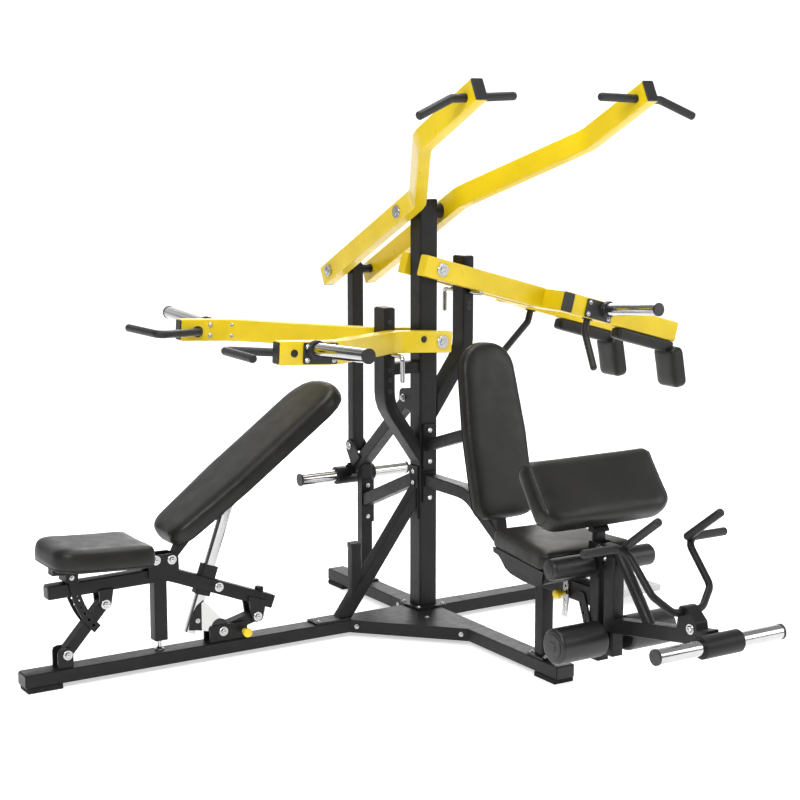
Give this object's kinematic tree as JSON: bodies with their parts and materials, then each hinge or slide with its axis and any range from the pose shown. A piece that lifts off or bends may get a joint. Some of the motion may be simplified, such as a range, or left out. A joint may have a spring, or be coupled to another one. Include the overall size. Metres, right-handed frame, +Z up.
{
  "type": "multi station home gym",
  "caption": "Multi-station plate-loaded home gym: lat, press and squat arms on a central column, an adjustable bench, a seat with leg lever and preacher pad.",
  "frame": {"origin": "middle of the footprint box, on the floor under the feet", "axes": "+Z up, +X from the bench towards the squat station, +Y from the seat towards the weight lever"},
  "size_m": [2.8206, 2.5698, 2.1278],
  "materials": {
    "black_paint": "satin black powder coat",
    "yellow_paint": "smooth yellow powder coat",
    "chrome": "polished",
    "vinyl": "soft sheen black upholstery vinyl",
    "foam": "matte foam sleeve",
    "grip": "matte black",
    "tread": "raised diamond tread",
    "knob": "moulded yellow plastic"
  },
  "bodies": {
    "frame": {"base_hub": "black_paint", "bench_rail": "black_paint", "seat_rail": "black_paint", "lat_rail": "black_paint", "squat_rail": "black_paint", "tread_platform": "tread", "column": "black_paint", "lat_pivot_bolt": "chrome", "press_pivot_bolt": "chrome", "squat_pivot_bolt": "chrome", "diagonal_brace": "black_paint", "press_rest_post": "black_paint", "squat_rest_post": "black_paint", "back_support": "black_paint", "backrest_pad": "vinyl", "seat_stand": "black_paint", "knee_roller_left": "foam", "knee_roller_right": "foam"},
    "press_pin": {"press_rest_pin": "chrome"},
    "squat_pin": {"squat_rest_pin": "chrome"},
    "lat_arms": {"lat_arm_left": "yellow_paint", "lat_arm_right": "yellow_paint", "lat_grip_left": "grip", "lat_grip_right": "grip"},
    "lat_link": {"lat_link": "black_paint"},
    "lat_lever": {"weight_lever": "black_paint", "lever_horn": "chrome"},
    "press_near": {"press_arm_near": "yellow_paint", "press_horn_near": "chrome", "press_handle_near": "grip"},
    "press_far": {"press_arm_far": "yellow_paint", "press_horn_far": "chrome", "press_handle_far": "grip"},
    "squat_yoke": {"squat_yoke": "yellow_paint", "squat_horn_near": "chrome", "squat_horn_far": "chrome", "squat_handle_near": "grip", "squat_handle_far": "grip", "squat_pad_near": "vinyl", "squat_pad_far": "vinyl"},
    "seat": {"seat_pad": "vinyl", "seat_shell": "black_paint"},
    "seat_knob": {"seat_knob": "knob"},
    "preacher": {"preacher_stem": "black_paint", "preacher_pad": "vinyl"},
    "leg_lever": {"leg_lever": "black_paint", "leg_horn": "chrome"},
    "roller_left": {"leg_roller_left": "foam"},
    "roller_right": {"leg_roller_right": "foam"},
    "curl_bar": {"curl_bar": "grip"},
    "bench_front_link": {"bench_front_link": "black_paint"},
    "bench_beam": {"bench_beam": "black_paint"},
    "bench_rear_link": {"bench_rear_link": "black_paint"},
    "bench_back": {"bench_back_frame": "black_paint", "bench_back_pad": "vinyl"},
    "back_strut": {"back_strut": "chrome"},
    "strut_sleeve": {"strut_sleeve": "black_paint"},
    "bench_seat": {"bench_seat_frame": "black_paint", "bench_seat_pad": "vinyl"},
    "bench_knob": {"bench_knob": "knob"}
  },
  "joints": [
    {"name": "press_pin_slide", "type": "slide", "parent": "frame", "child": "press_pin", "axis": [0, -1, 0], "range_m": [0, 0.12]},
    {"name": "squat_pin_slide", "type": "slide", "parent": "frame", "child": "squat_pin", "axis": [0, 1, 0], "range_m": [0, 0.12]},
    {"name": "lat_arms_swing", "type": "hinge", "parent": "frame", "child": "lat_arms", "pos_m": [0.26772, 0.48763, 1.644], "axis": [1, 0, 0], "range_deg": [0, 32]},
    {"name": "lat_link_swing", "type": "hinge", "parent": "lat_arms", "child": "lat_link", "pos_m": [0.26772, 1.01385, 1.38164], "axis": [1, 0, 0], "range_deg": [-31, 0]},
    {"name": "weight_lever_swing", "type": "hinge", "parent": "frame", "child": "lat_lever", "pos_m": [0.26772, 0.57563, 0.902], "axis": [1, 0, 0], "range_deg": [0, 37.5]},
    {"name": "press_near_swing", "type": "hinge", "parent": "frame", "child": "press_near", "pos_m": [0.29472, 0.48763, 1.14], "axis": [0, 1, 0], "range_deg": [0, 45]},
    {"name": "press_far_swing", "type": "hinge", "parent": "frame", "child": "press_far", "pos_m": [0.29472, 0.48763, 1.14], "axis": [0, 1, 0], "range_deg": [0, 45]},
    {"name": "squat_yoke_swing", "type": "hinge", "parent": "frame", "child": "squat_yoke", "pos_m": [0.29472, 0.48763, 1.42], "axis": [0, -1, 0], "range_deg": [0, 38]},
    {"name": "seat_tilt", "type": "hinge", "parent": "frame", "child": "seat", "pos_m": [0.26772, -0.21237, 0.415], "axis": [-1, 0, 0], "range_deg": [0, 12]},
    {"name": "seat_knob_pull", "type": "slide", "parent": "frame", "child": "seat_knob", "axis": [-1, 0, 0], "range_m": [0, 0.012], "stiffness_N_per_m": 400},
    {"name": "preacher_height", "type": "slide", "parent": "frame", "child": "preacher", "axis": [0, 0, 1], "range_m": [-0.025, 0.1]},
    {"name": "leg_lever_swing", "type": "hinge", "parent": "frame", "child": "leg_lever", "pos_m": [0.26772, -0.67537, 0.545], "axis": [-1, 0, 0], "range_deg": [0, 75]},
    {"name": "roller_left_spin", "type": "hinge", "parent": "leg_lever", "child": "roller_left", "pos_m": [0.11772, -0.70737, 0.243], "axis": [1, 0, 0], "continuous": true},
    {"name": "roller_right_spin", "type": "hinge", "parent": "leg_lever", "child": "roller_right", "pos_m": [0.41772, -0.70737, 0.243], "axis": [1, 0, 0], "continuous": true},
    {"name": "curl_bar_tilt", "type": "hinge", "parent": "leg_lever", "child": "curl_bar", "pos_m": [0.26772, -1.09637, 0.425], "axis": [1, 0, 0], "range_deg": [-10, 50]},
    {"name": "bench_front_link_swing", "type": "hinge", "parent": "frame", "child": "bench_front_link", "pos_m": [-1.25128, 0.48763, 0.115], "axis": [0, -1, 0], "range_deg": [0, 8.5]},
    {"name": "bench_beam_swing", "type": "hinge", "parent": "bench_front_link", "child": "bench_beam", "pos_m": [-1.10328, 0.48763, 0.28], "axis": [0, -1, 0], "range_deg": [-6.2, 0]},
    {"name": "bench_rear_link_swing", "type": "hinge", "parent": "frame", "child": "bench_rear_link", "pos_m": [-0.63728, 0.48763, 0.106], "axis": [0, -1, 0], "range_deg": [0, 21]},
    {"name": "bench_back_tilt", "type": "hinge", "parent": "bench_beam", "child": "bench_back", "pos_m": [-0.84228, 0.48763, 0.41], "axis": [0, -1, 0], "range_deg": [-8, 25]},
    {"name": "back_strut_swing", "type": "hinge", "parent": "bench_back", "child": "back_strut", "pos_m": [-0.59578, 0.48763, 0.5905], "axis": [0, -1, 0], "range_deg": [-6, 2.5]},
    {"name": "strut_sleeve_swing", "type": "hinge", "parent": "bench_beam", "child": "strut_sleeve", "pos_m": [-0.69628, 0.48763, 0.308], "axis": [0, -1, 0], "range_deg": [-7, 20.5]},
    {"name": "bench_seat_tilt", "type": "hinge", "parent": "bench_beam", "child": "bench_seat", "pos_m": [-0.90528, 0.48763, 0.415], "axis": [0, 1, 0], "range_deg": [0, 16]},
    {"name": "bench_knob_pull", "type": "slide", "parent": "frame", "child": "bench_knob", "axis": [0, -1, 0], "range_m": [0, 0.012], "stiffness_N_per_m": 400}
  ],
  "couplings": [
    {"joint": "lat_link_swing", "follows": "lat_arms_swing", "ratio": -0.963},
    {"joint": "weight_lever_swing", "follows": "lat_arms_swing", "ratio": 1.1662},
    {"joint": "bench_beam_swing", "follows": "bench_front_link_swing", "ratio": -0.69},
    {"joint": "bench_rear_link_swing", "follows": "bench_front_link_swing", "ratio": 2.404},
    {"joint": "back_strut_swing", "follows": "bench_back_tilt", "ratio": -0.2082},
    {"joint": "strut_sleeve_swing", "follows": "bench_back_tilt", "ratio": 0.7918}
  ]
}
